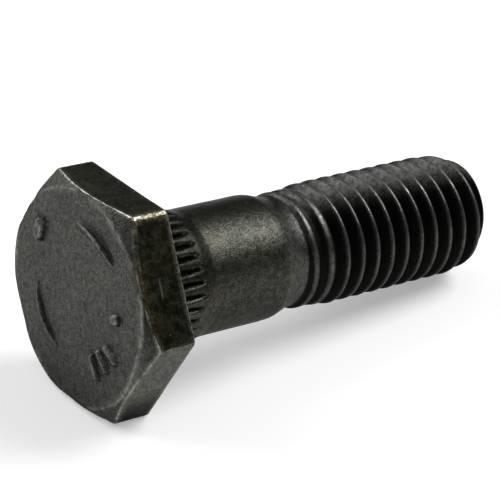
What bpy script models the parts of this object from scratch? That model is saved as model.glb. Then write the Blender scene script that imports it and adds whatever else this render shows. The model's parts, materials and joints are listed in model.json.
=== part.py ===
# Forged hexagon bolt with a low head, a serrated collar, a plain shank and a rolled thread.
# It is one piece of steel. In its own frame the origin is the centre of the bearing face,
# +Z runs up through the head and the shank hangs down along -Z.
# At the end it is laid down as it comes to rest: on one flat of the head and on its thread,
# with the thread pointing along +X and the lowest point at height 0.

import math

import bmesh
import bpy
from mathutils import Matrix, Vector

mm = 0.001

# Head
side_count = 6
across_flats = 16.85 * mm
head_height = 3.68 * mm
head_edge_radius = 0.47 * mm
top_face_diameter = 16.9 * mm
top_chamfer_angle = math.radians(31.5)
top_rim_radius = 0.9 * mm
bearing_fillet = 0.4 * mm

# Serrated collar, which stands proud of the shank; its lengths start at the bearing face
collar_rise = 0.26 * mm
collar_length = 4.45 * mm
collar_cone_length = 0.9 * mm
serration_count = 32
serration_turn = math.radians(9)
serration_depth = 0.36 * mm
serration_width = 0.76 * mm
serration_length = 3.6 * mm
serration_run_out = 0.5 * mm

# Shank, and the neck that was left at the size of the rolling blank, below the thread's crests
shank_diameter = 9.88 * mm
shank_end = 11.95 * mm
neck_depth = 0.53 * mm
neck_taper_length = 2.25 * mm
taper_blend = 0.5 * mm

# Thread, right-handed. Its first ridge lifts quickly off the neck and then fades in slowly.
length_under_head = 32.65 * mm
thread_diameter = 9.82 * mm
thread_pitch = 1.5 * mm
thread_start = 14.5 * mm
run_out_length = 3.5 * mm
ridge_lift = 0.2 * mm
ridge_lift_length = 0.4 * mm
crest_width = 0.27 * mm
crest_offset = 0.86 * mm
end_chamfer_length = 1.7 * mm
end_chamfer_angle = math.radians(21.5)
end_rim = 0.2 * mm

# Clearances between the shaping solids, which keep their faces from lying on each other
overlap = 0.5 * mm
skin = 0.04 * mm
spare_turns = 3

# How finely round shapes are stepped. Solids that cross are turned apart by part of a step,
# so that the edges of their facets never lie on each other.
turn_steps = 48
arc_steps = 3
weld_distance = 0.001 * mm
smooth_angle = math.radians(25)
step_angle = math.tau / turn_steps
half_side_angle = math.pi / side_count

flank_angle = math.radians(30)
depth_to_pitch = 0.6134
thread_depth = depth_to_pitch * thread_pitch
root_radius = thread_diameter / 2 - thread_depth
shank_radius = shank_diameter / 2
collar_radius = shank_radius + collar_rise
neck_radius = thread_diameter / 2 - neck_depth


def clear_scene():
    for thing in list(bpy.data.objects):
        bpy.data.objects.remove(thing, do_unlink=True)


def new_collection(name):
    collection = bpy.data.collections.new(name)
    bpy.context.scene.collection.children.link(collection)
    return collection


def steel_material():
    material = bpy.data.materials.new("blackened_steel")
    material.use_nodes = True
    shader = material.node_tree.nodes["Principled BSDF"]
    shader.inputs["Base Color"].default_value = (0.052, 0.053, 0.050, 1.0)
    shader.inputs["Metallic"].default_value = 0.75
    shader.inputs["Roughness"].default_value = 0.48
    return material


def add_object(name, mesh, collection, axis):
    thing = bpy.data.objects.new(name, mesh)
    collection.objects.link(thing)
    thing.parent = axis
    return thing


def make_tool(thing):
    thing.hide_render = True
    thing.display_type = "WIRE"


def arc(centre, radius, start, end):
    """Points on a circle in the (radius, height) half plane, from one angle to another."""
    angles = [start + (end - start) * step / arc_steps for step in range(arc_steps + 1)]
    return [
        (centre[0] + radius * math.cos(angle), centre[1] + radius * math.sin(angle))
        for angle in angles
    ]


def blend_bend(before, corner, after, setback):
    """The corner of a profile, replaced by a curve that leaves and joins it at the setback."""
    corner_point = Vector(corner)
    start = corner_point.lerp(Vector(before), setback / (Vector(before) - corner_point).length)
    end = corner_point.lerp(Vector(after), setback / (Vector(after) - corner_point).length)
    shares = [step / arc_steps for step in range(arc_steps + 1)]
    return [
        tuple(start.lerp(corner_point, share).lerp(corner_point.lerp(end, share), share))
        for share in shares
    ]


def turned(name, profile, collection, axis):
    """A solid of revolution about Z, from (radius, height) points that run down its outside."""
    mesh = bpy.data.meshes.new(name)
    points = [(radius, 0.0, height) for radius, height in profile]
    mesh.from_pydata(points, [(i, i + 1) for i in range(len(points) - 1)], [])
    thing = add_object(name, mesh, collection, axis)
    screw = thing.modifiers.new("Turn", "SCREW")
    screw.axis = "Z"
    screw.steps = turn_steps
    screw.render_steps = turn_steps
    screw.use_merge_vertices = True
    screw.merge_threshold = weld_distance
    return thing


def combine(thing, other, operation):
    boolean = thing.modifiers.new(operation.title() + " " + other.name, "BOOLEAN")
    boolean.operation = operation
    boolean.solver = "EXACT"
    boolean.object = other


def blank_profile():
    """Collar, cone, shank, tapered neck and a core that ends inside the full thread."""
    core_radius = root_radius - skin
    fillet_centre = (collar_radius + bearing_fillet, -bearing_fillet)
    cone_start = (collar_radius, -collar_length)
    cone_end = (shank_radius, -collar_length - collar_cone_length)
    taper_start = (shank_radius, -shank_end)
    taper_end = (neck_radius, -shank_end - neck_taper_length)
    run_out_start = (neck_radius, -thread_start - ridge_lift_length)
    run_out_end = (core_radius, -thread_start - run_out_length)
    core_end = (core_radius, run_out_end[1] - overlap)
    profile = [(0.0, head_height / 2), (collar_radius + bearing_fillet, head_height / 2)]
    profile += arc(fillet_centre, bearing_fillet, math.radians(90), math.radians(180))
    profile += [cone_start, cone_end]
    profile += blend_bend(cone_end, taper_start, taper_end, taper_blend)
    profile += blend_bend(taper_start, taper_end, run_out_start, taper_blend)
    profile += [run_out_start, run_out_end, core_end, (0.0, core_end[1])]
    return profile


def thread_envelope_profile():
    """The thread fades in from the neck, runs at full height and ends in a chamfer and a rim."""
    full_radius = thread_diameter / 2 + skin
    chamfer_start = -length_under_head + end_chamfer_length
    end_radius = full_radius - end_chamfer_length * math.tan(end_chamfer_angle)
    chamfer_end = (end_radius, -length_under_head)
    profile = [
        (0.0, -thread_start),
        (neck_radius - skin, -thread_start),
        (neck_radius + ridge_lift, -thread_start - ridge_lift_length),
        (full_radius, -thread_start - run_out_length),
        (full_radius, chamfer_start),
    ]
    profile += blend_bend(profile[-1], chamfer_end, (0.0, -length_under_head), end_rim)
    profile += [(0.0, -length_under_head)]
    return profile


def head_envelope_profile():
    """The flat top, its rounded rim and the cone that trims the corners of the hexagon."""
    outer_radius = across_flats
    rim = (top_face_diameter / 2, head_height)
    drop = (outer_radius - rim[0]) * math.tan(top_chamfer_angle)
    outer = (outer_radius, head_height - drop)
    setback = top_rim_radius * math.tan(top_chamfer_angle / 2)
    profile = [(0.0, head_height)]
    profile += blend_bend((0.0, head_height), rim, outer, setback)
    profile += [outer, (outer_radius, -head_height), (0.0, -head_height)]
    return profile


def threaded_rod(collection, axis):
    """A tooth outline one pitch high, wound into a right-hand screw surface and closed."""
    crest_radius = thread_diameter / 2
    half_crest = crest_width / 2
    half_base = half_crest + thread_depth * math.tan(flank_angle)
    outline = [
        (root_radius, half_base),
        (crest_radius, half_crest),
        (crest_radius, -half_crest),
        (root_radius, -half_base),
        (root_radius, half_base - thread_pitch),
    ]
    turns = math.ceil((length_under_head - thread_start) / thread_pitch) + spare_turns
    lowest = crest_offset - thread_start - (turns - 1) * thread_pitch
    points = [(radius, 0.0, lowest + height) for radius, height in outline]
    mesh = bpy.data.meshes.new("threaded_rod")
    mesh.from_pydata(points, [(i, i + 1) for i in range(len(points) - 1)], [])
    guide = add_object("threaded_rod_guide", mesh, collection, None)
    screw = guide.modifiers.new("Helix", "SCREW")
    screw.axis = "Z"
    screw.screw_offset = thread_pitch
    screw.iterations = turns
    screw.steps = turn_steps
    screw.render_steps = turn_steps
    depsgraph = bpy.context.evaluated_depsgraph_get()
    wound = bpy.data.meshes.new_from_object(guide.evaluated_get(depsgraph))
    bpy.data.objects.remove(guide, do_unlink=True)

    shape = bmesh.new()
    shape.from_mesh(wound)
    bmesh.ops.remove_doubles(shape, verts=shape.verts, dist=weld_distance)
    middle = lowest + turns * thread_pitch / 2
    for side in (-1, 1):
        rim = [e for e in shape.edges if e.is_boundary and (e.verts[0].co.z - middle) * side > 0]
        closing = bmesh.ops.extrude_edge_only(shape, edges=rim)["geom"]
        corners = [item for item in closing if isinstance(item, bmesh.types.BMVert)]
        level = sum(corner.co.z for corner in corners) / len(corners)
        bmesh.ops.pointmerge(shape, verts=corners, merge_co=(0.0, 0.0, level))
    bmesh.ops.recalc_face_normals(shape, faces=shape.faces)
    shape.to_mesh(wound)
    shape.free()
    rod = add_object("threaded_rod", wound, collection, axis)
    rod.rotation_euler.z = step_angle / 4
    make_tool(rod)
    envelope = turned("thread_envelope", thread_envelope_profile(), collection, axis)
    envelope.rotation_euler.z = step_angle / 2
    make_tool(envelope)
    combine(rod, envelope, "INTERSECT")
    return rod


def head_stock(collection, axis):
    """A hexagonal prism with softened upright edges, trimmed by the turned top."""
    corner_radius = across_flats / 2 / math.cos(half_side_angle)
    centre = Matrix.Translation((0, 0, head_height / 2))
    shape = bmesh.new()
    bmesh.ops.create_cone(
        shape,
        cap_ends=True,
        segments=side_count,
        radius1=corner_radius,
        radius2=corner_radius,
        depth=head_height,
        matrix=centre @ Matrix.Rotation(half_side_angle, 4, "Z"),
    )
    upright = [edge for edge in shape.edges if abs(edge.verts[0].co.z - edge.verts[1].co.z) > skin]
    setback = head_edge_radius * math.tan(half_side_angle)
    bmesh.ops.bevel(
        shape, geom=upright, offset=setback, segments=arc_steps, profile=0.5, affect="EDGES"
    )
    mesh = bpy.data.meshes.new("head_stock")
    shape.to_mesh(mesh)
    shape.free()
    stock = add_object("head_stock", mesh, collection, axis)
    make_tool(stock)
    envelope = turned("head_envelope", head_envelope_profile(), collection, axis)
    make_tool(envelope)
    combine(stock, envelope, "INTERSECT")
    return stock


def serration_cutters(collection, axis):
    """Upside-down hipped roofs, one for each groove, which fade out at both ends."""
    floor_radius = collar_radius - serration_depth
    rise = overlap + serration_depth
    half_width = serration_width / 2 * rise / serration_depth
    run_out = serration_run_out * rise / serration_depth
    near_end = -bearing_fillet
    far_end = -bearing_fillet - serration_length
    cutters = bmesh.new()
    for index in range(serration_count):
        turn = Matrix.Rotation(serration_turn + math.tau * index / serration_count, 3, "Z")
        floor = [(floor_radius, 0.0, near_end), (floor_radius, 0.0, far_end)]
        roof = [
            (floor_radius + rise, side * half_width, height)
            for side in (-1, 1)
            for height in (near_end, far_end - run_out)
        ]
        corners = [cutters.verts.new(turn @ Vector(point)) for point in floor + roof]
        bmesh.ops.convex_hull(cutters, input=corners)
    bmesh.ops.recalc_face_normals(cutters, faces=cutters.faces)
    mesh = bpy.data.meshes.new("serration_cutters")
    cutters.to_mesh(mesh)
    cutters.free()
    tool = add_object("serration_cutters", mesh, collection, axis)
    make_tool(tool)
    return tool


def rest_rotation():
    """One head flat and the end of the thread touch the ground, so the axis dips a little."""
    contact_distance = length_under_head - end_chamfer_length
    dip = math.atan((across_flats - thread_diameter) / 2 / contact_distance)
    return Matrix(
        (
            (0.0, math.sin(dip), -math.cos(dip)),
            (-1.0, 0.0, 0.0),
            (0.0, math.cos(dip), math.sin(dip)),
        )
    )


def lay_down(axis, bolt):
    """Turn the bolt to its rest and bring the middle of its footprint to the origin."""
    axis.matrix_world = rest_rotation().to_4x4()
    bpy.context.view_layer.update()
    depsgraph = bpy.context.evaluated_depsgraph_get()
    evaluated = bolt.evaluated_get(depsgraph)
    points = [evaluated.matrix_world @ vertex.co for vertex in evaluated.data.vertices]
    lows = [min(point[i] for point in points) for i in range(3)]
    highs = [max(point[i] for point in points) for i in range(3)]
    axis.location = (-(lows[0] + highs[0]) / 2, -(lows[1] + highs[1]) / 2, -lows[2])
    bpy.context.view_layer.update()


def build():
    clear_scene()
    parts = new_collection("bolt")
    tools = new_collection("bolt_cutters")
    axis = bpy.data.objects.new("bolt_axis", None)
    parts.objects.link(axis)

    bolt = turned("bolt", blank_profile(), parts, axis)
    combine(bolt, threaded_rod(tools, axis), "UNION")
    combine(bolt, head_stock(tools, axis), "UNION")
    combine(bolt, serration_cutters(tools, axis), "DIFFERENCE")

    bolt.data.materials.append(steel_material())
    bolt.data.shade_smooth()
    bolt.data.set_sharp_from_angle(angle=smooth_angle)
    lay_down(axis, bolt)


build()
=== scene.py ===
import json
import math

import bpy
import numpy as np
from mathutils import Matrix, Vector


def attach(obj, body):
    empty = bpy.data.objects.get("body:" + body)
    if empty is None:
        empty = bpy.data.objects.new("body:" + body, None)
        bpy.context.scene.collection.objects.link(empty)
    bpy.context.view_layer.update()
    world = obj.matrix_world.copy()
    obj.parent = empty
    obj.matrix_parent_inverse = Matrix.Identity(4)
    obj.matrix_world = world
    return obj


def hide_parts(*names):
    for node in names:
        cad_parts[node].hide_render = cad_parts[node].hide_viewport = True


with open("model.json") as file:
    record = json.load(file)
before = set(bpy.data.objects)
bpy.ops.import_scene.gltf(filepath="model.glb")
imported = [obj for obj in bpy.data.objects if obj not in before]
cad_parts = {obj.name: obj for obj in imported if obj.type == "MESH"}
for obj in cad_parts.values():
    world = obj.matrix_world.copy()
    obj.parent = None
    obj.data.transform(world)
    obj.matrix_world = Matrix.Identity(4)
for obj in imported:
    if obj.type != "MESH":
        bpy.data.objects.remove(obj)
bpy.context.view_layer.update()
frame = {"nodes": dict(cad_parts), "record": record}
mm = 0.001
print("frame loaded:", ", ".join(sorted(frame["nodes"])))


# Small shaping functions

def straightShare(values, start, end):  # 0 at start, 1 at end, a straight line
    return (values - start) / (end - start)


def smoothStep(values, start, end):  # 0 before start, 1 after end, an S curve between
    share = np.clip(straightShare(values, start, end), 0, 1)
    return share * share * (3 - 2 * share)


def fall(values, start, end):  # 1 before start, 0 after end
    return 1 - smoothStep(values, start, end)


def softMin(first, second, blend):  # the smaller of two heights, with their crossing rounded off
    share = np.clip(0.5 + 0.5 * (second - first) / blend, 0, 1)
    return second + (first - second) * share - blend * share * (1 - share)


def softMax(first, second, blend):  # and the larger of two
    return -softMin(-first, -second, blend)


def bump(values, centre, width):  # a bell of height 1
    return np.exp(-((values - centre) / width) ** 2)


def bend(start, corner, end, count):
    # Rows of points on a quadratic curve that heads for the corner, without its first point
    shares = ((np.arange(count) + 1) / count)[:, None, None]
    return (1 - shares) ** 2 * start + 2 * shares * (1 - shares) * corner + shares ** 2 * end


def ringNoise(rough):
    # Smooth noise round a ring, between -1 and 1: random numbers averaged with a bell
    random = np.random.default_rng(rough["seed"]).normal(size=columnCount)
    steps = np.minimum(columnIndex, columnCount - columnIndex)
    bell = bump(steps, 0, rough["reach"])
    smooth = np.real(np.fft.ifft(np.fft.fft(random) * np.fft.fft(bell)))
    return smooth / np.abs(smooth).max()


def unevenness(angle, depth):
    # A few sine waves wound round the bolt, between about -1 and 1
    return (0.35 * np.sin(3 * angle + 1.1 * depth) + 0.3 * np.sin(5 * angle - 1.9 * depth + 1.0)
            + 0.2 * np.sin(8 * angle + 2.9 * depth + 2.0) + 0.15 * np.sin(13 * angle - 2.1 * depth))


def spread(values):  # one value for each row, the same in every column
    return np.repeat(np.asarray(values)[:, None], columnCount, 1)


def degreesRound(x, y):  # the angle of a place round the axis
    return np.degrees(np.arctan2(y, x))


def aroundAxis(radius, angle, depth):  # and the places for angles in radians
    places = np.broadcast_arrays(radius * np.cos(angle), radius * np.sin(angle), -depth)
    return np.stack(places, -1).reshape(-1, 3)


# The grid round the bolt's axis, from the top of the head to the end

grid = {
    "columns": 288,  # steps round the axis: a multiple of 6 sides and of 32 grooves
    "firstAngle": 9.0,  # where column 0 stands, on the middle of a groove
    "cornerColumn": -7,  # the column that stands on the corner at angle 0
}

columnCount = grid["columns"]
columnIndex = np.arange(columnCount)
evenAngles = np.radians(grid["firstAngle"] + 360.0 / columnCount * columnIndex)


head = {
    "sides": 6, "acrossFlats": 16.85, "height": 3.68, "cornerRadius": 0.56,
    "arcColumns": 5,  # columns from the middle of a corner's arc to its end
    "flatPower": 1.5,  # the steps along a flat grow as this power of their number
    "sideGrow": {150: 0.08, 210: 0.06},  # how far the middle of a forged side stands out
    "sideGrowHalf": 4.6,  # and how far from its middle that ends
    "topRadius": 8.45,  # where the flat top and the trimming cone would meet
    "topShift": (-0.323, -0.153),  # the trim was cut a little off the hexagon's centre
    "topRim": (0.62, 0.34, 200.0),  # the mean of its rounding, and how much softer it is at this angle
    "chamferAngle": 31.5,
    # Round an angle, over a width, the cone is flatter or steeper by a share of its own angle
    "chamferEase": [(15.0, 50.0, -0.42), (210.0, 62.0, 0.34)],
    # and the trim's circle is larger or smaller by a length
    "trimUneven": [(32.0, 16.0, 0.28), (-14.0, 20.0, -0.3)],
    # A low burr round the flat top, which comes and goes and fades towards the lowest side
    "lip": {"height": 0.03, "inside": 0.02, "width": 0.16, "mean": 0.55, "swing": 0.45, "fade": (-8.3, -3.0),
            "seed": 11, "reach": 3},
    # How the upper and the lower edge are rounded: the lower one's wobble is a share of its radius
    "edgeRound": {"radius": 0.09, "wobble": 0.12, "seed": 3, "reach": 1.3},
    "lowerRound": {"radius": 0.16, "wobble": 0.3, "seed": 5, "reach": 4},
}

headRows = {
    # Rings on the flat top, close together where the marks stand
    "flat": [0.4, 0.9, 1.5, 2.1, 2.7, 3.2, 3.6, 3.9, 4.2, 4.4]
    + [4.5 + 0.065 * number for number in range(36)] + [7.0, 7.3, 7.6, 7.8],
    "arc": (-0.35, -0.15, 0.0, 0.2, 0.4, 0.6, 0.8, 1.0),  # shares of the rim's arc
    "cone": (0.2, 0.4, 0.6, 0.8, 1.0),  # and of the cone
    "gap": 0.006,  # rings that would pass the edge are kept this far apart
    "edge": 5,
    "side": (0.03, 0.1, 0.25, 0.44, 0.475, 0.51, 0.7, 0.9, 1.0),  # close together on the scuff
    "lower": 4,
    "seat": (0.2, 0.5, 0.8, 1.0),
}

headWear = {
    # How bright the upper edge and each upright corner are worn, by their angle
    "upperEdge": {0: 0.7, 6: 1.0, 14: 0.9, 22: 0.8, 30: 1.15, 50: 1.2, 56: 1.6, 64: 1.4, 70: 1.1, 76: 0.6,
                  90: 0.75, 100: 1.0, 117: 1.1, 123: 0.7, 150: 0.6, 200: 0.5, 260: 0.6, 295: 1.1, 308: 1.0,
                  320: 0.5, 345: 0.4},
    "corner": {0: 0.35, 60: 1.2, 120: 0.6, 180: 0.5, 240: 0.5, 300: 0.4},
    "cornerReach": 0.9,
    "beside": {"above": 0.3, "below": 0.25},  # the rings next to the upper edge
    "lowerEdge": {"above": 0.4, "round": 0.9},  # the ring over the lower edge, and the edge itself
    "rim": {"outside": 0.05, "width": 0.13},  # the worn line round the flat top
    # One rub, and one brown stain by the upper edge, on the side that faces this way
    "rubbedSide": 30,
    "scuff": {"height": 1.93, "width": 0.06, "along": -0.5, "fade": (0.455, 0.78)},
    "rust": {"heights": (2.4, 3.4), "along": -0.9, "fade": (1.6, 3.4)},
}

marks = {
    # A bow is raised: its radius, the angles of its ends, its height, the width of its steep side,
    # how far it runs out softly behind that, and whether behind is outwards (1) or inwards (-1)
    "bows": [
        (6.08, 47.0, 100.0, 0.44, 0.17, 1.0, -1),
        (5.28, 190.0, 247.0, 0.31, 0.13, 0.85, 1),
    ],
    # A stud is a short raised bar or, where it has no length, a round one: its middle, the way it
    # points, half its length, the half width of its top, the width of its wall and its height
    "studs": [
        (-5.45, 3.35, 80, 0.42, 0.38, 0.28, 0.4),
        (4.9, 0.5, 6, 0.08, 0.3, 0.2, 0.34),
        (2.85, -4.35, -55, 0.78, 0.13, 0.21, 0.38),
        (3.8, -3.45, -42, 0.72, 0.13, 0.21, 0.38),
        (4.7, -2.5, -28, 0.66, 0.13, 0.21, 0.38),
    ],
    "edgeWidth": {"bow": 0.08, "stud": 0.09},  # how wide the rubbed line along their tops is, which also paints a highlight
    "topRub": 0.3,  # how rubbed a stud's top is, as a share of that line
}


def hexOutline():
    # Hexagon with rounded corners: from the middle of a corner the first columns turn along its arc,
    # and the rest run along the flat with steps that grow as a power of their number
    perSide = columnCount // head["sides"]
    halfAngle = math.pi / head["sides"]
    corner = np.round((columnIndex - grid["cornerColumn"]) / perSide)
    step = columnIndex - grid["cornerColumn"] - corner * perSide
    radius, arcColumns = head["cornerRadius"], head["arcColumns"]
    apothem = head["acrossFlats"] / 2 - radius  # of the corners' centres
    turn = np.clip(np.abs(step) / arcColumns, 0, 1) * halfAngle
    flatShare = np.clip(straightShare(np.abs(step), arcColumns, perSide // 2), 0, 1) ** head["flatPower"]
    onFlat = flatShare * (apothem * math.tan(halfAngle))
    centre = apothem / math.cos(halfAngle)
    along = centre + radius * np.cos(turn) - onFlat * math.sin(halfAngle)
    across = (radius * np.sin(turn) + onFlat * math.cos(halfAngle)) * np.sign(step)
    angle = corner * 2 * halfAngle
    x = along * np.cos(angle) - across * np.sin(angle)
    y = along * np.sin(angle) + across * np.cos(angle)
    fromCorner = np.hypot(along - centre - radius, across)
    return np.stack([x, y], 1), 1 - np.clip(fromCorner / headWear["cornerReach"], 0, 1)


def nearestSide(x, y):
    # The way that the hexagon's nearest side faces, and how far inside it and along it (from its
    # middle, growing with the angle) a point lies
    side = np.round((degreesRound(x, y) - 30) / 60) * 60 + 30
    turn = np.radians(side)
    inside = head["acrossFlats"] / 2 - (x * np.cos(turn) + y * np.sin(turn))
    return side % 360, inside, y * np.cos(turn) - x * np.sin(turn)


def forgedOutline(outline):
    # The outline with the middle of some sides pushed out, by a parabola along the side
    side, _, along = nearestSide(*outline.T)
    grow = np.array([head["sideGrow"].get(int(number), 0.0) for number in side])
    grow = grow * np.clip(1 - (along / head["sideGrowHalf"]) ** 2, 0, 1)
    turn = np.radians(side)
    return outline + grow[:, None] * np.stack([np.cos(turn), np.sin(turn)], 1)


def roundAngles(toward, places):
    # The sum of a few bells round given directions, at points that lie this way from the middle
    angle = degreesRound(*toward.T)
    return sum(by * bump((angle - middle + 180) % 360 - 180, 0.0, width) for middle, width, by in places)


def chamferSlope(toward):
    # The trimming cone's angle for each column
    return math.radians(head["chamferAngle"]) * (1 + roundAngles(toward, head["chamferEase"]))


def topRim(toward, slope):
    # The arc between flat top and cone: its radius, softest on one side, and where it starts and ends
    mean, swing, angle = head["topRim"]
    soft = math.radians(angle)
    rim = mean + swing * (toward[:, 0] * math.cos(soft) + toward[:, 1] * math.sin(soft))
    start = head["topRadius"] + roundAngles(toward, head["trimUneven"]) - rim * np.tan(slope / 2)
    return rim, start, start + rim * np.sin(slope)


def topHeight(rho, rim, start, end, slope):
    # Flat, then an arc of the rim's radius, then a cone down to the hexagon's sides
    onArc = np.clip(rho - start, 0, rim * np.sin(slope))
    arcDrop = rim - np.sqrt(rim * rim - onArc * onArc)
    return head["height"] - arcDrop - np.clip(rho - end, 0, None) * np.tan(slope)


def markRelief(x, y):
    # A bow rises over its steep side, falls away behind it, and gets lower towards both ends. A stud's
    # height follows the distance from its middle line. With the relief come two shares: the edges along
    # its top, which are rubbed and carry a painted highlight, and its walls, where shade is painted.
    radius = np.hypot(x, y)
    angle = degreesRound(x, y)
    relief, edge, wall = np.zeros_like(x), np.zeros_like(x), np.zeros_like(x)
    for bowRadius, start, end, height, steep, soft, way in marks["bows"]:
        away = np.abs((angle - (start + end) / 2 + 180) % 360 - 180) / ((end - start) / 2)
        along = np.sqrt(np.clip(1 - away ** 2, 0, 1))
        behind = (radius - bowRadius) * way
        across = smoothStep(behind, 0.0, steep) * fall(behind, steep * 1.5, soft)
        relief += height * along * across
        edge += along * bump(behind, steep * 1.15, marks["edgeWidth"]["bow"])
        wall += along * bump(behind, steep * 0.4, steep * 0.6)
    for atX, atY, facing, half, top, wallWidth, height in marks["studs"]:
        turn = math.radians(facing)
        awayX, awayY = x - atX, y - atY
        along = awayX * math.cos(turn) + awayY * math.sin(turn)
        across = awayY * math.cos(turn) - awayX * math.sin(turn)
        away = np.hypot(np.maximum(np.abs(along) - half, 0), across)
        relief += height * fall(away, top, top + wallWidth)
        edge += bump(away, top - 0.02, marks["edgeWidth"]["stud"])
        edge += marks["topRub"] * fall(away, top - 0.1, top)
        wall += bump(away, top + wallWidth * 0.65, wallWidth * 0.5)
    return relief, edge, wall


def wearAround(outline, table):
    # A value for each column, between those that the table gives for places round the head
    angle = degreesRound(*outline.T) % 360
    places = np.array(sorted(table.items()))
    return np.interp(angle, places[:, 0], places[:, 1], period=360)


def topRadii(limit, arcStart, arcEnd):
    # How far out the top's rings lie: the flat's radii, shares of arc and cone, none past the edge
    arc = np.array(headRows["arc"])[:, None]
    cone = np.array(headRows["cone"])[:, None]
    rho = np.concatenate([
        spread(headRows["flat"]),
        arcStart + arc * (arcEnd - arcStart),
        arcEnd + cone * np.clip(limit - arcEnd, 0, None),
    ])
    ringsLeft = len(rho) - 1 - np.arange(len(rho))[:, None]
    return np.minimum(rho, limit - ringsLeft * headRows["gap"])


def headRings():
    # Rings from the middle of the top out to the edge, down the sides and in along the bearing face.
    # On the top each column runs from the trim's own centre straight to its point of the outline.
    outline, cornerNear = hexOutline()
    outline = forgedOutline(outline)
    shift = np.array(head["topShift"])
    reach = np.linalg.norm(outline - shift, axis=1)
    toward = (outline - shift) / reach[:, None]
    edgeRound, lowerRound, lip = head["edgeRound"], head["lowerRound"], head["lip"]
    rounding = edgeRound["radius"] + edgeRound["wobble"] * ringNoise(edgeRound)
    limit = reach - rounding
    slope = chamferSlope(toward)
    rim, arcStart, arcEnd = topRim(toward, slope)
    rho = topRadii(limit, arcStart, arcEnd)
    x, y = shift[:, None, None] + rho * toward.T[:, None]
    relief, markEdgeRubAndHighlight, markWallShade = markRelief(x, y)
    burr = (limit > arcEnd) * (lip["mean"] + lip["swing"] * ringNoise(lip))
    onLip = bump(rho, arcStart - lip["inside"], lip["width"]) * smoothStep(y, *lip["fade"])
    z = topHeight(rho, rim, arcStart, arcEnd, slope) + relief + lip["height"] * onLip * burr

    # The rounded upper edge, the sides, the rounded lower edge and the bearing face
    def over(height):  # points of the outline at these heights
        return np.concatenate([outline, height[:, None]], 1)

    edgeTop = topHeight(reach, rim, arcStart, arcEnd, slope)
    top = np.stack([x, y, z], -1)
    edge = bend(top[-1], over(edgeTop), over(edgeTop - rounding), headRows["edge"])
    lower = lowerRound["radius"] * (1 + lowerRound["wobble"] * ringNoise(lowerRound))
    sides = np.stack([over((edgeTop - rounding) * (1 - share) + lower * share) for share in headRows["side"]])
    foot = over(0 * lower)
    inner = (1 - lower / np.hypot(*outline.T))[:, None]
    footEdge = bend(over(lower), foot, foot * inner, headRows["lower"])
    seatCircle = aroundAxis(collar["radius"] + collar["fillet"], grooveAngles(), 0)
    seat = np.stack([footEdge[-1] * (1 - share) + seatCircle * share for share in headRows["seat"]])
    parts = {"top": top, "edge": edge, "side": sides, "lower": footEdge, "seat": seat}
    rings = np.concatenate(list(parts.values()))
    ends = np.cumsum([len(part) for part in parts.values()])
    rows = {name: slice(end - len(parts[name]), end) for name, end in zip(parts, ends)}

    # How worn each ring is: most on the upper edge, less on the lower one and down the corners
    def onRows(part, values):
        whole = np.zeros(rings.shape[:2])
        whole[rows[part]] = values
        return whole

    edgeShare = (np.arange(headRows["edge"]) + 1) / headRows["edge"]
    upperEdge = onRows("edge", (1 - np.abs(edgeShare * 2 - 1) ** 2)[:, None])
    upperEdge[rows["edge"].start - 1] = headWear["beside"]["above"]
    upperEdge[rows["edge"].stop] = headWear["beside"]["below"]
    lowerEdge = onRows("lower", headWear["lowerEdge"]["round"])
    lowerEdge[rows["side"].stop - 1] = headWear["lowerEdge"]["above"]
    lowerEdge[rows["lower"].stop - 1] = 0
    scuff, rust, rimLine = headWear["scuff"], headWear["rust"], headWear["rim"]
    side, inside, along = nearestSide(sides[..., 0], sides[..., 1])
    onSide = (side == headWear["rubbedSide"]) & (inside < 0.05)
    height = sides[..., 2]
    scuffed = fall(np.abs(along - scuff["along"]), *scuff["fade"])
    scuffed = scuffed * bump(height, scuff["height"], scuff["width"])
    rusty = smoothStep(height, *rust["heights"]) * fall(np.abs(along - rust["along"]), *rust["fade"])
    wearAndShade = {
        "upperEdge": upperEdge * wearAround(outline, headWear["upperEdge"]),
        "lowerEdge": lowerEdge,
        "corner": onRows("side", cornerNear * wearAround(outline, headWear["corner"])),
        "topRim": onRows("top", bump(rho, arcStart + rimLine["outside"], rimLine["width"]) * burr),
        "scuff": onRows("side", onSide * scuffed),
        "rust": onRows("side", onSide * rusty),
        # the marks' rubbed edges, partly a painted highlight, and painted shade at their walls
        "markEdgeRubAndHighlight": onRows("top", markEdgeRubAndHighlight),
        "markWallShade": onRows("top", markWallShade),
    }
    return rings, wearAndShade


collar = {
    "mountDepth": 2.4, "radius": 5.2, "fillet": 0.4, "filletTurns": (112.5, 135.0, 157.5, 180.0),
    "length": 4.2, "coneLength": 1.3,
    "coneSoft": 0.65,  # the share of the cone that is an S curve
    "grooves": 32, "grooveDepth": 0.38, "grooveHalfWidth": 0.32,
    "grooveFloor": 0.88,  # the V ends in a flat floor after this share of its depth
    "grooveStart": 0.5, "grooveRunIn": 0.3,
    "grooveEnd": 4.35,  # here a groove comes to a point
    "grooveNarrowing": 1.3,  # over this length before its end
    "grooveUneven": 0.22,  # by how much the grooves differ in length
    "grooveSeed": 7,
    "landRound": 0.13,  # a land's shoulders lie this much lower than its middle
    "landStart": 0.35, "landRunIn": 0.4,
    "columnShares": (0.0, 0.07, 0.2, 0.33, 0.42),  # of a groove's pitch, from its middle outwards
    "rings": [0.5, 0.62, 0.8, 1.1, 1.5, 2.0, 2.5, 3.0, 3.4, 3.7, 3.9]
    + [4.0 + 0.08 * number for number in range(10)] + [4.85, 5.0, 5.15, 5.3, 5.42, 5.6],
}

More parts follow.
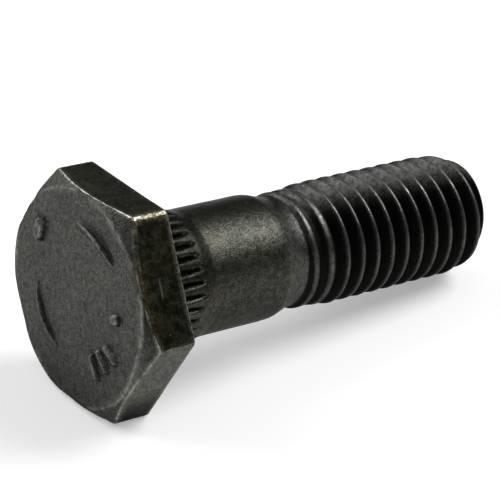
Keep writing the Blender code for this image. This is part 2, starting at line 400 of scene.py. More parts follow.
shank = {
    "radius": 4.94,
    "taper": (11.4, 14.6),  # an S curve between these depths
    "crease": (12.25, 14.0),  # with a straight cone mixed in, whose start shows
    "creaseShare": 0.65,
    "neckRadius": 4.36,
    "uneven": 0.012,
    "unevenFrom": (5.4, 7.0),  # the unevenness comes in between these depths
    "unevenTo": (11.0, 12.5),  # and goes between these
    "evenColumns": (5.6, 9.0),  # the columns change from the grooves' places to even steps
    "rings": [(6.0, 11.1, 10), (11.5, 12)],  # from, to and count; the last run ends at the thread
}

thread = {
    "pitch": 1.5, "crestRadius": 4.91, "rootRadius": 3.99, "crestHalf": 0.125,
    "crestDent": 0.035,  # a crest is knocked down by up to this much in places
    "flankAngle": 30.0,
    "blend": {"crest": 0.17, "root": 0.2, "body": 0.06, "lift": 0.1, "end": 0.12},
    "crestDepth": 15.02,  # a crest stands at this depth, at the angle below
    "crestAngle": 31.73,
    "firstLift": 0.28,  # the first ridge rises this much out of the neck
    "lift": (14.35, 14.85),  # between these depths,
    "full": (16.2, 18.4),  # and the ridge gets its full height between these
    "root": (14.9, 18.0),  # while the body under it fades to the root
    "coreBelow": 0.04,  # the body fades to this much below the root
    "gridStart": 12.8,  # the strip's grid starts within a pitch below this depth
    "endDepth": 32.65, "endRadius": 4.16, "endAngle": 21.5, "endRim": 0.2,
    "endShift": (0.36, 25.0),  # the end's cone is off centre by this much, towards this angle
    "endTilt": 0.15,  # and the end is out of square: longer by this much towards angle 0
    "endTiltStart": 31.6,
    "endTurns": (0.0, 22.5, 45.0, 67.5, 90.0),
    "endShares": (0.97, 0.9, 0.78, 0.62, 0.44, 0.24, 0.08),
    "samples": (-0.75, -0.64, -0.56, -0.40, -0.24, -0.17, -0.10, 0.0, 0.10, 0.17, 0.24, 0.40, 0.56, 0.64),
    "snap": 0.012,  # points nearer than this to a closing ring become the ring's own
}


def grooveAngles():
    # Columns gathered at the walls of the grooves: each groove's pitch holds nine of them
    perGroove = columnCount // collar["grooves"]
    half = perGroove // 2
    number = np.floor_divide(columnIndex + half, perGroove)
    step = columnIndex - number * perGroove
    shares = np.array(collar["columnShares"])[np.abs(step)] * np.sign(step)
    return np.radians(grid["firstAngle"] + 360.0 / collar["grooves"] * (number + shares))


def plainRadius(depth):
    # Collar, then a cone, then the shank, then an S curve down to the neck, then the fading root
    cone = np.clip((depth - collar["length"]) / collar["coneLength"], 0, 1)
    cone = (1 - collar["coneSoft"]) * cone + collar["coneSoft"] * cone * cone * (3 - 2 * cone)
    radius = collar["radius"] + (shank["radius"] - collar["radius"]) * cone
    soft = smoothStep(depth, *shank["taper"])
    straight = softMin(softMax(straightShare(depth, *shank["crease"]), 0.0, 0.12), 1.0, 0.3)
    taper = soft * (1 - shank["creaseShare"]) + straight * shank["creaseShare"]
    radius = radius + (shank["neckRadius"] - shank["radius"]) * taper
    core = thread["rootRadius"] - thread["coreBelow"]
    root = np.clip(straightShare(depth, *thread["root"]), 0, 1)
    return radius + (core - shank["neckRadius"]) * root


def grooveRadius(angle, depth):
    # A V that narrows and gets shallower towards its end: its depth falls with the distance from its
    # middle line as a share of its half width. Each groove has its own length. The lands between fall
    # off with the square of the distance from their middle.
    turn = 2 * math.pi / collar["grooves"]
    place = (angle - math.radians(grid["firstAngle"])) / turn
    number = np.round(place).astype(int) % collar["grooves"]
    offMiddle = np.abs(place - np.round(place))
    random = np.random.default_rng(collar["grooveSeed"])
    uneven = random.normal(size=collar["grooves"]).clip(-1.5, 1.5)[number]
    end = collar["grooveEnd"] + collar["grooveUneven"] * uneven
    narrow = np.clip((end - depth) / collar["grooveNarrowing"], 0, 1) ** 0.5 * (1 - 0.05 * depth)
    wall = offMiddle * turn * collar["radius"] / (collar["grooveHalfWidth"] * np.maximum(narrow, 0.001))
    near = (collar["grooveStart"] - depth) / collar["grooveRunIn"]
    cut = np.clip(1 - np.maximum(wall, near), 0, collar["grooveFloor"]) * np.clip(narrow * 1.25, 0, 1)
    shoulder = (1 - 2 * offMiddle) ** 2 * np.clip((depth - collar["landStart"]) / collar["landRunIn"], 0, 1)
    land = collar["landRound"] * shoulder * smoothStep(end - depth, -0.3, 0.9)
    return collar["radius"] - collar["grooveDepth"] * cut / collar["grooveFloor"] - land


def shankRings():
    # Rings down the fillet, the serrated collar, the cone and the shank to where the thread's grid starts
    turns = np.radians(collar["filletTurns"])
    filletRadius = collar["radius"] + collar["fillet"] * (1 + np.cos(turns))
    filletDepth = collar["fillet"] * (1 - np.sin(turns))
    shankRun, taperRun = shank["rings"]
    depth = spread(np.concatenate([
        collar["rings"], np.linspace(*shankRun), np.linspace(taperRun[0], firstHelixDepth(), taperRun[1])]))
    evenness = smoothStep(depth, *shank["evenColumns"])
    angle = grooveAngles() * (1 - evenness) + evenAngles * evenness
    wavy = smoothStep(depth, *shank["unevenFrom"]) * fall(depth, *shank["unevenTo"])
    body = plainRadius(depth) + shank["uneven"] * wavy * unevenness(angle, depth)
    radius = np.minimum(body, grooveRadius(angle, depth))
    cut = np.clip((body - radius - collar["landRound"] * 0.5) / collar["grooveDepth"], 0, 1)
    fillet = (spread(filletRadius), np.tile(grooveAngles(), (len(turns), 1)), spread(filletDepth),
              spread(0 * turns))
    return [np.concatenate(pair) for pair in zip(fillet, (radius, angle, depth, cut))]


def crestDistance(angle, depth):
    # Distance along the axis to the nearest crest, which climbs by a pitch in a turn to the right
    pitch = thread["pitch"]
    crest = thread["crestDepth"] - pitch * (angle - math.radians(thread["crestAngle"])) / (2 * math.pi)
    return (depth - crest + pitch / 2) % pitch - pitch / 2


def endLimit(angle, depth):
    # The cone at the end of the thread, a little off centre
    shift, toward = thread["endShift"]
    rise = (thread["endDepth"] - depth) * math.tan(math.radians(thread["endAngle"]))
    return thread["endRadius"] + rise + shift * np.cos(angle - math.radians(toward))


def endTilt(angle, depth):
    # How much deeper the thread's surface lies because its end is out of square
    return thread["endTilt"] * np.cos(angle) * smoothStep(depth, thread["endTiltStart"], thread["endDepth"])


def threadLimit(depth):
    # How far out a ridge may reach at its start: it rises out of the neck in two steps
    lift = thread["firstLift"] * smoothStep(depth, *thread["lift"])
    full = thread["crestRadius"] - shank["neckRadius"] - thread["firstLift"] + 0.02
    lift = lift + full * smoothStep(depth, *thread["full"])
    return plainRadius(np.minimum(depth, thread["root"][0])) + lift, lift


def threadRadius(angle, depth):
    # A trapezium with rounded crest and root, under the fading limit and the end's cone, and over the
    # body that it grows out of
    blend = thread["blend"]
    away = np.abs(crestDistance(angle, depth + endTilt(angle, depth)))
    slope = math.tan(math.radians(thread["flankAngle"]))
    flank = thread["crestRadius"] - (away - thread["crestHalf"]) / slope
    crest = thread["crestRadius"] - thread["crestDent"] * np.clip(unevenness(angle, depth), 0, 1) ** 0.7
    tooth = softMin(crest, flank, blend["crest"])
    tooth = softMax(tooth, thread["rootRadius"], blend["root"])
    tooth = softMax(tooth, plainRadius(depth), blend["body"])
    limit, lift = threadLimit(depth)
    tooth = softMin(tooth, limit, np.minimum(blend["lift"], 0.5 * lift + 0.0001))
    return softMin(tooth, endLimit(angle, depth), blend["end"])


def firstHelixDepth():
    # The depth at which the root line, followed back towards the head, crosses column 0
    pitch = thread["pitch"]
    start = thread["crestDepth"] - pitch / 2
    start -= pitch * math.radians(grid["firstAngle"] - thread["crestAngle"]) / (2 * math.pi)
    turns = math.floor((start - thread["gridStart"]) / pitch)
    return start - turns * pitch


def helixGrid(topRing, rimRing, firstIndex):
    # A strip one pitch wide, wound down the bolt: a step goes one column back round the axis, and the
    # last line is the first of the turn below. Points past the first ring or the rim are that ring's
    # own, so that the strip closes on flat rings.
    pitch = thread["pitch"]
    samples = np.array(thread["samples"]) / pitch + 0.5
    perTurn = len(samples)
    top = firstHelixDepth()
    rim = thread["endDepth"] - thread["endRim"]
    turns = (rim - top) / pitch
    steps = np.arange(math.ceil((turns + 1) * columnCount) + 2)
    line = top + pitch * steps / columnCount
    lineBefore = np.maximum(line - pitch, top)
    depth = lineBefore[:, None] + (line - lineBefore)[:, None] * samples[None]
    column = (-steps) % columnCount
    angle, topPoints, rimPoints = (
        np.repeat(ring[column][:, None], perTurn, 1) for ring in (evenAngles, topRing, rimRing))
    atTop = depth < top + thread["snap"]
    atRim = depth > rim - thread["snap"]
    own = ~(atTop | atRim)
    index = np.zeros(depth.shape, int)
    index[own] = firstIndex + np.arange(own.sum())
    index[atTop] = topPoints[atTop]
    index[atRim] = rimPoints[atRim]
    below = np.concatenate([index[columnCount:, 0], rimRing[column[-columnCount:]]])
    table = np.concatenate([index, below[:, None]], 1)
    quads = np.stack([table[:-1, :-1], table[1:, :-1], table[1:, 1:], table[:-1, 1:]], -1)
    return angle[own], depth[own], quads.reshape(-1, 4)


def endRings():
    # Rings round the end's rim, which keeps the thread's outline, and in across the flat end, where
    # they get rounder
    rim = thread["endDepth"] - thread["endRim"]
    outer = threadRadius(evenAngles, np.full(columnCount, rim))
    turn = np.radians(thread["endTurns"])[:, None]
    onRim = outer - thread["endRim"] * 0.8 * (1 - np.cos(turn))
    edge = onRim[-1]
    shares = np.array(thread["endShares"])[:, None]
    oval = shares ** 0.2
    flat = edge * oval * shares + np.mean(edge) * (1 - oval) * shares
    radius = np.concatenate([onRim, flat])
    depth = np.concatenate([spread(rim + thread["endRim"] * np.sin(turn[:, 0])),
                            np.full_like(flat, thread["endDepth"])])
    return radius, depth + endTilt(evenAngles, depth) * radius / outer


def ringQuads(first, count):
    # Quads between rings that follow each other, each joined round to its first column
    rings = first + np.arange(count * columnCount).reshape(count, columnCount)
    after = np.roll(rings, -1, 1)
    return np.stack([rings[:-1], rings[1:], after[1:], after[:-1]], -1).reshape(-1, 4)


def poleTriangles(pole, ring, upward):
    # Triangles from one point to a ring, turned so that they face outwards
    after = np.roll(ring, -1)
    poles = np.full(columnCount, pole)
    return np.stack((poles, ring, after) if upward else (poles, after, ring), 1)


def withoutDoubles(quads, triangles):
    # Where the strip meets a ring, quads with doubled corners become triangles or nothing
    doubled = quads == np.roll(quads, -1, 1)
    single = quads[doubled.sum(1) == 1]
    keep = np.ones(single.shape, bool)
    keep[np.arange(len(single)), np.argmax(single == np.roll(single, -1, 1), 1)] = False
    threes = np.concatenate([triangles, single[keep].reshape(-1, 3)])
    whole = (threes != np.roll(threes, -1, 1)).all(1)
    return quads[~doubled.any(1)], threes[whole]


tones = {
    # How brown the finish is, and how light it is painted: on the head's top, and on its sides by
    # the way they face
    "faceWarmth": 0.12,
    "sideWarmth": {90: 0.7, 30: 1.0, 330: 0.4},
    "shankWarmth": 0.45,
    "faceShade": 1.12,
    # painted light and shade: each side lighter or darker by the way it faces
    "sideShade": {90: 0.92, 30: 0.3, 330: 1.75},
    "otherSide": 0.6,  # both, on the sides that face away
    # Shank, thread, collar and taper: between which depths each comes in and goes, by how much it is
    # lighter, a tone that partly paints shade, and by how much more on the lower right, painted light
    # that fades between two angles
    "zones": [
        ((0.0, 0.5), (12.1, 12.4), -0.3, 0.0, (0.0, 1.0)),
        ((14.35, 14.85), (40.0, 41.0), -0.4, 0.0, (0.0, 1.0)),
        ((0.0, 0.4), (5.2, 5.5), -0.55, 0.9, (-8.0, 24.0)),
        ((12.1, 12.4), (14.2, 14.6), 0.0, 0.35, (-12.0, 18.0)),
    ],
    # Slow changes on the head: lighter along the upper side's upper edge, painted shade on the lower
    # right side towards the lowest corner, and painted shade and light on the trim round an angle, over a
    # width
    "upperSide": 0.5, "lowestCorner": -0.75,
    "trim": [(20.0, 28.0, -0.8), (-31.0, 13.0, 0.8)],
    "dustAndSheen": ((52, 84), (96, 128)),  # the thread's upper side, dusty and with a painted sheen, comes in and goes between angles
    "glint": (58.0, 7.0),  # a painted highlight along the crests: its angle and width
    # Painted shade near the floor: everything a little darker, and the sides of the head more so
    "nearFloor": {"least": 0.6, "heights": (0.0, 4.5)},
    "headNearFloor": {"least": 0.3, "heights": (0.3, 4.4), "under": 2.6},
}


def bySide(points, values, face):
    # A value for each of the head's points: the face's on top, and each side's own on the sides
    x, y, z = points.T
    side, inside, _ = nearestSide(x, y)
    ofSide = np.array([values.get(int(number), tones["otherSide"]) for number in side])
    share = np.maximum(fall(inside, 0.02, 0.12), fall(z, 2.2, 2.6))
    return face + (ofSide - face) * share


def headTones(points):
    # 1 with the slow changes on the head added to it, each on its own side or on the trim alone
    # the changes towards the lowest corner and on the trim are painted shade and light
    x, y, z = points.T
    side, inside, along = nearestSide(x, y)
    onSide = inside < 0.03
    upper = tones["upperSide"] * (side == 90) * smoothStep(z, 1.2, 3.2) * smoothStep(along, -2.0, 3.0)
    lowest = tones["lowestCorner"] * (side == 330) * fall(along, -5.0, -1.0)
    onTrim = ~onSide * smoothStep(np.hypot(x, y), 8.05, 8.4) * smoothStep(z, 2.4, 2.8)
    return 1 + (upper + lowest) * onSide + roundAngles(points[:, :2], tones["trim"]) * onTrim


def warmths(points, onHead):
    # How brown the finish is: strongly on the sides of the head, less on the shank, not on the thread
    warm = tones["shankWarmth"] * fall(-points[:, 2], shank["crease"][0], thread["lift"][0])
    warm[onHead] = bySide(points[onHead], tones["sideWarmth"], tones["faceWarmth"])
    return warm


def shades(points, onHead, aboveFloor):
    # How light the colour is painted: the product of the zones' tones, which partly paint light and
    # shade, the head's painted light and shade, and painted shade near the floor
    angle = degreesRound(points[:, 0], points[:, 1])
    shade = np.ones(len(points))
    for start, end, by, onRight, fade in tones["zones"]:
        # a zone's tone partly paints shade, and its lower right gets painted light
        lighter = by + onRight * fall(angle, *fade) * (angle > -90)
        shade *= 1 + lighter * smoothStep(-points[:, 2], *start) * fall(-points[:, 2], *end)
    low = tones["headNearFloor"]
    # painted shade on the head's lower part near the floor
    nearFloorShade = fall(aboveFloor[onHead], *low["heights"]) * (points[onHead, 2] < low["under"])
    shade[onHead] = bySide(points[onHead], tones["sideShade"], tones["faceShade"]) * headTones(points[onHead])
    shade[onHead] *= 1 - (1 - low["least"]) * nearFloorShade
    # and painted shade on everything near the floor
    least = tones["nearFloor"]["least"]
    return shade * (least + (1 - least) * smoothStep(aboveFloor, *tones["nearFloor"]["heights"]))


def materialLayers(points, aboveFloor, blocks, wearAndShade, collarDepth, cut):
    # What the material reads at each vertex: worn edges, crests, grooves, places on the bolt, and painted
    # light and shade
    x, y, z = points.T
    angle = np.arctan2(y, x)
    layers = {name: np.zeros(len(points)) for name in [*wearAndShade, "toothEdge", "groove"]}
    for name, values in wearAndShade.items():
        layers[name][blocks["head"]] = np.append(0.0, values)  # 0 for the top's middle point
    toothEdge = bump(cut, 0.1, 0.12) * (cut > 0.005) * (collarDepth < collar["grooveEnd"] + 0.4)
    layers["toothEdge"][blocks["shank"]] = toothEdge.ravel()
    layers["groove"][blocks["shank"]] = cut.ravel()
    onThread = smoothStep(-z, *thread["lift"])
    onThread *= fall(-z, thread["endDepth"] - 0.14, thread["endDepth"] - 0.04)  # not on the end
    onThread[blocks["end"]] = 0
    depth = np.clip(-z, thread["lift"][0], None)
    top = np.minimum(np.minimum(threadLimit(depth)[0], endLimit(angle, depth)), thread["crestRadius"])
    bottom = np.minimum(np.maximum(plainRadius(depth), thread["rootRadius"]), top - 0.2)
    height = np.clip((np.hypot(x, y) - bottom) / (top - bottom), 0, 1)
    layers["crest"] = onThread * fall(np.abs(crestDistance(angle, -z)), 0.03, 0.16)
    layers["valley"] = onThread * (1 - height)
    layers["warm"] = warmths(points, blocks["head"])
    layers["shade"] = shades(points, blocks["head"], aboveFloor)
    turned, dustySheenAngles = np.degrees(angle) % 360, tones["dustAndSheen"]
    # dust and a painted sheen on the thread's upper side
    layers["dustAndSheen"] = onThread * smoothStep(turned, *dustySheenAngles[0]) * fall(turned, *dustySheenAngles[1])
    # a painted highlight along the crests, round one angle
    layers["glint"] = layers["crest"] * bump(turned, *tones["glint"])
    return layers


def newObject(name, data):  # an object that is in the scene
    made = bpy.data.objects.new(name, data)
    bpy.context.scene.collection.objects.link(made)
    return made


def boltAxes():
    # The bolt's own frame, from the collar's mount, which lies on the axis at a known depth and whose
    # axis points down the shank
    mount = next(mount for mount in frame["record"]["mounts"] if mount["name"] == "serrated_collar")
    down = mount["axis"] / np.linalg.norm(mount["axis"])
    origin = mount["pos_m"] - down * collar["mountDepth"] * mm
    zAxis = -down
    yAxis = np.array([zAxis[2], 0.0, -zAxis[0]])  # square to the axis, in the upright plane
    xAxis = np.cross(yAxis, zAxis)
    return origin, np.stack([xAxis, yAxis, zAxis])


def meshOf(name, points, fours, threes, layers):
    # A smooth mesh of quads and triangles, with each layer's value at every point
    mesh = bpy.data.meshes.new(name)
    loops = np.concatenate([fours.ravel(), threes.ravel()])
    starts = np.concatenate([np.arange(len(fours)) * 4, len(fours) * 4 + np.arange(len(threes)) * 3])
    mesh.vertices.add(len(points))
    mesh.vertices.foreach_set("co", points.astype(np.float32).ravel())
    mesh.loops.add(len(loops))
    mesh.loops.foreach_set("vertex_index", loops.astype(np.int32))
    mesh.polygons.add(len(starts))
    mesh.polygons.foreach_set("loop_start", starts.astype(np.int32))
    mesh.update(calc_edges=True)
    mesh.validate()
    mesh.shade_smooth()
    for layerName, values in layers.items():
        attribute = mesh.attributes.new(layerName, "FLOAT", "POINT")
        attribute.data.foreach_set("value", values.astype(np.float32))
    return mesh


def buildBolt():
    # One closed surface: a point on top, the rings of head and shank, those of the end and its middle
    # point, and the thread's strip, which joins the rings
    headPoints, wearAndShade = headRings()
    radius, angle, depth, cut = shankRings()
    endRadius, endDepth = endRings()
    topPole, firstRing = 0, 1
    upperCount = len(headPoints) + len(radius)
    shankFirst = firstRing + len(headPoints) * columnCount
    endFirst = firstRing + upperCount * columnCount
    endPole = endFirst + len(endRadius) * columnCount
    lastShankRing = endFirst - columnCount + columnIndex
    lastEndRing = endPole - columnCount + columnIndex
    helixAngle, helixDepth, helixQuads = helixGrid(lastShankRing, endFirst + columnIndex, endPole + 1)
    helixRadius = threadRadius(helixAngle, helixDepth)
    helixDepth = helixDepth + endTilt(helixAngle, helixDepth)

    points = np.concatenate([
        [[*head["topShift"], head["height"]]], headPoints.reshape(-1, 3), aroundAxis(radius, angle, depth),
        aroundAxis(endRadius, evenAngles, endDepth), [[0.0, 0.0, -thread["endDepth"]]],
        aroundAxis(helixRadius, helixAngle, helixDepth)])
    quads = np.concatenate([
        ringQuads(firstRing, upperCount), ringQuads(endFirst, len(endRadius)), helixQuads])
    triangles = np.concatenate([
        poleTriangles(topPole, firstRing + columnIndex, True), poleTriangles(endPole, lastEndRing, False)])
    fours, threes = withoutDoubles(quads, triangles)

    origin, axes = boltAxes()
    placed = origin + points * mm @ axes
    blocks = {"head": slice(0, shankFirst), "shank": slice(shankFirst, endFirst),
              "end": slice(endFirst + 2 * columnCount, endPole + 1)}
    layers = materialLayers(points, placed[:, 2] / mm, blocks, wearAndShade, depth, cut)
    print("bolt surface:", len(fours) * 2 + len(threes), "triangles")
    return newObject("bolt_skin", meshOf("bolt_surface", placed, fours, threes, layers))


# Shader maths: a socket that can be used in sums

class Signal:
    def __init__(self, tree, socket=None):
        self.tree = tree
        self.socket = socket

    def node(self, kind, settings=None, inputs=None, output=0):
        # Any node: its type, its settings, then the values or links of its sockets
        made = self.tree.nodes.new(kind)
        for name, value in (settings or {}).items():
            setattr(made, name, value)
        for name, value in (inputs or {}).items():
            if isinstance(value, Signal):
                self.tree.links.new(value.socket, made.inputs[name])
            else:
                made.inputs[name].default_value = value
        return Signal(self.tree, made.outputs[output])

    def math(self, operation, first, second=0.0, clamped=False):
        settings = {"operation": operation, "use_clamp": clamped}
        return self.node("ShaderNodeMath", settings, {0: first, 1: second})

    def __add__(self, other):
        return self.math("ADD", self, other)

    __radd__ = __add__

    def __sub__(self, other):
        return self.math("SUBTRACT", self, other)

    def __rsub__(self, other):
        return self.math("SUBTRACT", other, self)

    def __mul__(self, other):
        return self.math("MULTIPLY", self, other)

    __rmul__ = __mul__

    def __pow__(self, other):
        return self.math("POWER", self, other)

    def clamped(self):
        return self.math("ADD", self, 0.0, True)

    def between(self, low, high):  # 0 below low, 1 above high, an S curve between
        return self.node("ShaderNodeMapRange", {"interpolation_type": "SMOOTHSTEP"},
                         {"Value": self, "From Min": low, "From Max": high})

    def mixed(self, first, second):  # a colour between two, by this share
        return self.node("ShaderNodeMix", {"data_type": "RGBA"}, {0: self, 6: first, 7: second}, 2)

    def scaled(self, factor):  # a colour or a place, times a number
        return self.node("ShaderNodeVectorMath", {"operation": "SCALE"}, {0: self, "Scale": factor})

    def noise(self, pattern):  # noise at this place: its scale, detail and roughness
        inputs = dict(zip(("Scale", "Detail", "Roughness"), pattern), Vector=self)
        return self.node("ShaderNodeTexNoise", {}, inputs)

    def layer(self, name):  # one of the mesh's own attributes
        return self.node("ShaderNodeAttribute", {"attribute_name": name}, {}, 2)


steel = {
    "dark": (0.026, 0.026, 0.025, 1),
    "grey": (0.092, 0.092, 0.087, 1),
    "warmDark": (0.021, 0.023, 0.013, 1),
    "warmGrey": (0.090, 0.093, 0.062, 1),
    "brown": (0.075, 0.046, 0.014, 1),
    "rust": (0.078, 0.052, 0.018, 1),
    # soot, and painted shade in the thread, the grooves and at the marks' walls
    "sootAndShade": (0.005, 0.005, 0.0045, 1),
    "bare": (0.44, 0.43, 0.38, 1),
    "bareWarm": (0.40, 0.36, 0.25, 1),
    "crest": (0.16, 0.16, 0.15, 1),
    # dust on the thread's upper side, with a painted sheen
    "dustAndSheen": (0.104, 0.107, 0.101, 1),
    "dustyCrestSheen": (0.19, 0.195, 0.185, 1),  # the dusty crests on the upper side, with a painted sheen
    "edgeTint": (0.55, 0.55, 0.55, 1),  # how strongly the finish mirrors at a grazing angle
    # Noise: scale in features per millimetre, detail and roughness
    "noise": {"grain": (9.5, 1.0, 0.6), "fine": (4.2, 2.0, 0.6), "mottle": (2.6, 4.0, 0.62),
              "blotch": (1.5, 4.0, 0.68), "cloud": (0.28, 3.0, 0.55), "brownish": (0.55, 3.0, 0.6),
              "wearPatch": (0.9, 2.0, 0.5), "speck": (5.5, 0.0, 0.5)},
    "brownMost": 0.7, "crestMost": 0.85, "speckBare": 0.35, "scuffBare": 0.3,
    # How bare each worn place is, or how bright a painted highlight: everywhere, and more in patches
    "lowerEdge": (0.1, 0.5),
    "corner": (0.1, 0.7),
    "topRim": (0.12, 0.4),
    # the marks' rubbed edges, partly a painted highlight
    "markEdgeRubAndHighlight": (0.1, 0.25),
    "toothEdge": (0.0, 0.35),
    # a painted highlight on the crests, in the bare colour
    "glint": (0.0, 0.6),
    "roughness": 0.38, "bumpStrength": 0.55, "bumpHeight": 0.08,
}


def blackenedSteel():
    # One metal: its colour is a row of mixes, by shares that come from noise and from the layers, some of
    # which paint light and shade
    material = bpy.data.materials.new("blackened_steel_finish")
    material.use_nodes = True
    tree = material.node_tree
    shader = tree.nodes["Principled BSDF"]
    start = Signal(tree)
    inMm = start.node("ShaderNodeTexCoord", {}, {}, 3).scaled(1 / mm)  # Object coordinates
    grain, fine, mottle, blotch, cloud, brownish, wearPatch, speck = (
        inMm.noise(pattern) for pattern in steel["noise"].values())
    warm, shade, crest, valley, groove, dustAndSheen, rust = (
        start.layer(name) for name in ("warm", "shade", "crest", "valley", "groove", "dustAndSheen", "rust"))
    chips = fine.between(0.36, 0.6)
    patches = mottle.between(0.35, 0.62)
    patchy = blotch.between(0.36, 0.64) - 0.5

    # The oxide: dark to grey in grain and spots, cool or olive, with brown in places and light crests
    greyShare = mottle.between(0.36, 0.66) * 0.5 + grain.between(0.42, 0.58) * 0.64
    greyShare = (greyShare * (0.55 + cloud * 0.72) * (1 + patchy * (0.2 + warm ** 2.0))).clamped()
    cool = greyShare.mixed(steel["dark"], steel["grey"])
    olive = greyShare.mixed(steel["warmDark"], steel["warmGrey"])
    colour = warm.mixed(cool, olive)
    brownShare = (brownish.between(0.50, 0.72) * fine.between(0.35, 0.65) * warm).clamped()
    colour = (brownShare * steel["brownMost"]).mixed(colour, steel["brown"])
    crestShare = (crest * (0.35 + 0.5 * fine + 0.25 * patches + 0.65 * patchy)).clamped() * steel["crestMost"]
    colour = crestShare.mixed(colour, steel["crest"])
    # Scaled by the shade layer: partly the finish's own tone, partly painted light and shade
    colour = colour.scaled(shade * (1 + patchy * warm ** 2.0 * 0.5))
    colour = (rust * (0.1 + 0.65 * chips * patches)).clamped().mixed(colour, steel["rust"])

    # Soot and painted shade deep in the thread and in the grooves, painted shadow at the foot of the
    # marks, and dust with a painted sheen on the upper side
    # painted shade in the thread's hollows, less on the sheened upper side
    inThread = valley.between(0.0, 0.22) * 0.92 * (1 - dustAndSheen)
    sootAndShade = (inThread + groove.between(0.05, 0.5) * 0.9 + start.layer("markWallShade") * 0.95).clamped()
    colour = sootAndShade.mixed(colour, steel["sootAndShade"])
    # dust with a painted sheen on the upper side, and lighter crests there
    colour = (dustAndSheen * (0.2 + 0.7 * patches)).clamped().mixed(colour, steel["dustAndSheen"])
    colour = (dustAndSheen * crest * (0.5 + 0.4 * patches)).clamped().mixed(colour, steel["dustyCrestSheen"])

    def bareAt(name, pattern, power=1.0):
        # How bare a worn place is, or how bright a painted highlight: its layer, times its least share and
        # more where the pattern is
        least, more = steel[name]
        return start.layer(name) ** power * (least + pattern * more)

    # Worn through to bare steel along the edges, in chips and longer patches, and in a few specks; the
    # same bare colour paints a highlight on the crests and, in part, along the marks' top edges
    longPatches = wearPatch.between(0.36, 0.56)
    spots = chips * patches
    bare = start.layer("upperEdge") * (0.2 + 0.8 * longPatches) * (0.2 + 0.5 * patches + 0.55 * chips)
    bare = bare + bareAt("lowerEdge", patches) + bareAt("corner", spots, 3.0) + bareAt("topRim", patches)
    bare = bare + bareAt("markEdgeRubAndHighlight", patches) + start.layer("scuff") * steel["scuffBare"]
    bare = (bare + bareAt("toothEdge", spots) + bareAt("glint", spots * longPatches)).clamped()
    bare = (bare + speck.between(0.835, 0.88) * steel["speckBare"] * (1 - sootAndShade)).clamped()
    bareWarmth = (warm.between(0.7, 1.0) * (1 - start.layer("lowerEdge"))).clamped()
    colour = bare.mixed(colour, bareWarmth.mixed(steel["bare"], steel["bareWarm"]))

    roughness = steel["roughness"] - 0.12 * (grain - 0.5)
    roughness = roughness - crestShare * 0.06 - bare * 0.08 + sootAndShade * 0.2 + dustAndSheen * 0.1
    height = grain * 0.45 + fine * 0.4 + mottle * 0.6
    relief = start.node("ShaderNodeBump", {}, {
        "Strength": steel["bumpStrength"], "Distance": steel["bumpHeight"] * mm, "Height": height})
    varying = {"Base Color": colour, "Roughness": roughness, "Metallic": 0.96 + bare * 0.04, "Normal": relief}
    for name, value in varying.items():
        tree.links.new(value.socket, shader.inputs[name])
    shader.inputs["Specular Tint"].default_value = steel["edgeTint"]
    print("finish:", material.name, "with", len(tree.nodes), "nodes")
    return material


studio = {
    "floorColour": (0.80, 0.80, 0.80, 1),
    "floorRoughness": 0.9,
    "floorGlow": 0.36,  # seen by the camera and in reflections only
    "floorHalf": 3.0,
    "worldLow": (0.13, 0.13, 0.13, 1),
    "worldHigh": (0.34, 0.34, 0.35, 1),
    "worldHeights": (0.3, 0.9),  # the world gets lighter between these heights of a direction
}


def paleFloor():
    # A square at z = 0 that glows a little where the camera or a reflection sees it
    mesh = bpy.data.meshes.new("floor")
    half = studio["floorHalf"]
    corners = [(-half, -half, 0), (half, -half, 0), (half, half, 0), (-half, half, 0)]
    mesh.from_pydata(corners, [], [(0, 1, 2, 3)])
    floor = newObject("floor", mesh)
    material = bpy.data.materials.new("pale_floor")
    material.use_nodes = True
    tree = material.node_tree
    shader = tree.nodes["Principled BSDF"]
    shader.inputs["Base Color"].default_value = studio["floorColour"]
    shader.inputs["Roughness"].default_value = studio["floorRoughness"]
    start = Signal(tree)
    rays = ("Is Camera Ray", "Is Glossy Ray", "Is Transmission Ray")
    direct, glossy, through = (start.node("ShaderNodeLightPath", {}, {}, ray) for ray in rays)
    glow = (direct + glossy + through).clamped().mixed((0, 0, 0, 1), (1, 1, 1, 1))
    tree.links.new(glow.socket, shader.inputs["Emission Color"])
    shader.inputs["Emission Strength"].default_value = studio["floorGlow"]
    mesh.materials.append(material)


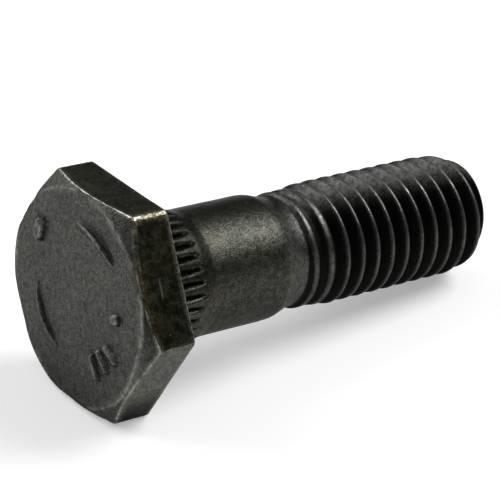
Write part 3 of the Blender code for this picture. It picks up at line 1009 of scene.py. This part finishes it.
def softWorld():
    # A dim room, a little lighter overhead
    world = bpy.data.worlds.new("studio")
    bpy.context.scene.world = world
    world.use_nodes = True
    tree = world.node_tree
    start = Signal(tree)
    direction = start.node("ShaderNodeTexCoord")  # its first output goes with the direction in a world
    up = start.node("ShaderNodeSeparateXYZ", {}, {"Vector": direction}, 2)
    colour = up.between(*studio["worldHeights"]).mixed(studio["worldLow"], studio["worldHigh"])
    tree.links.new(colour.socket, tree.nodes["Background"].inputs["Color"])


lamps = {
    # Where a soft lamp stands (degrees from +X and up, and metres), its size and its power
    "key": {"azimuth": -18, "elevation": 47, "distance": 0.6, "size": 0.4, "power": 2.9},
    "backLeft": {"azimuth": 120, "elevation": 34, "distance": 0.7, "size": 0.62, "power": 3.2},
}


def softLamps():
    # Round lamps that look at the origin from their place on a sphere
    for name, lamp in lamps.items():
        light = bpy.data.lights.new(name, "AREA")
        light.shape = "DISK"
        light.size = lamp["size"]
        light.energy = lamp["power"]
        azimuth, elevation = math.radians(lamp["azimuth"]), math.radians(lamp["elevation"])
        toward = aroundAxis(math.cos(elevation), azimuth, -math.sin(elevation))[0]
        thing = newObject(name + "_lamp", light)
        thing.location = toward * lamp["distance"]
        thing.rotation_mode = "QUATERNION"
        thing.rotation_quaternion = Vector(toward).to_track_quat("Z", "Y")
    print("studio: pale floor, dim world and", len(lamps), "soft lamps")


camera = {
    "place": (-0.099967, -0.129134, 0.098482),
    "turn": (60.737, -0.559, -36.849),
    "lens": 173.72,
    "shift": (0.00026, -0.00095),
    "clip": (0.01, 10.0),
}


def photoCamera():
    # The camera that was fitted to the photo's outlines, in metres and degrees
    data = bpy.data.cameras.new("camera")
    data.lens = camera["lens"]
    data.shift_x, data.shift_y = camera["shift"]
    data.clip_start, data.clip_end = camera["clip"]
    thing = newObject("camera", data)
    thing.location = camera["place"]
    thing.rotation_euler = [math.radians(angle) for angle in camera["turn"]]
    bpy.context.scene.camera = thing
    print("camera: lens", camera["lens"])


bolt = buildBolt()
bolt.data.materials.append(blackenedSteel())
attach(bolt, "root")
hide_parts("bolt")
paleFloor()
softWorld()
softLamps()
photoCamera()
bpy.context.scene.view_settings.view_transform = "Standard"
print("finished")
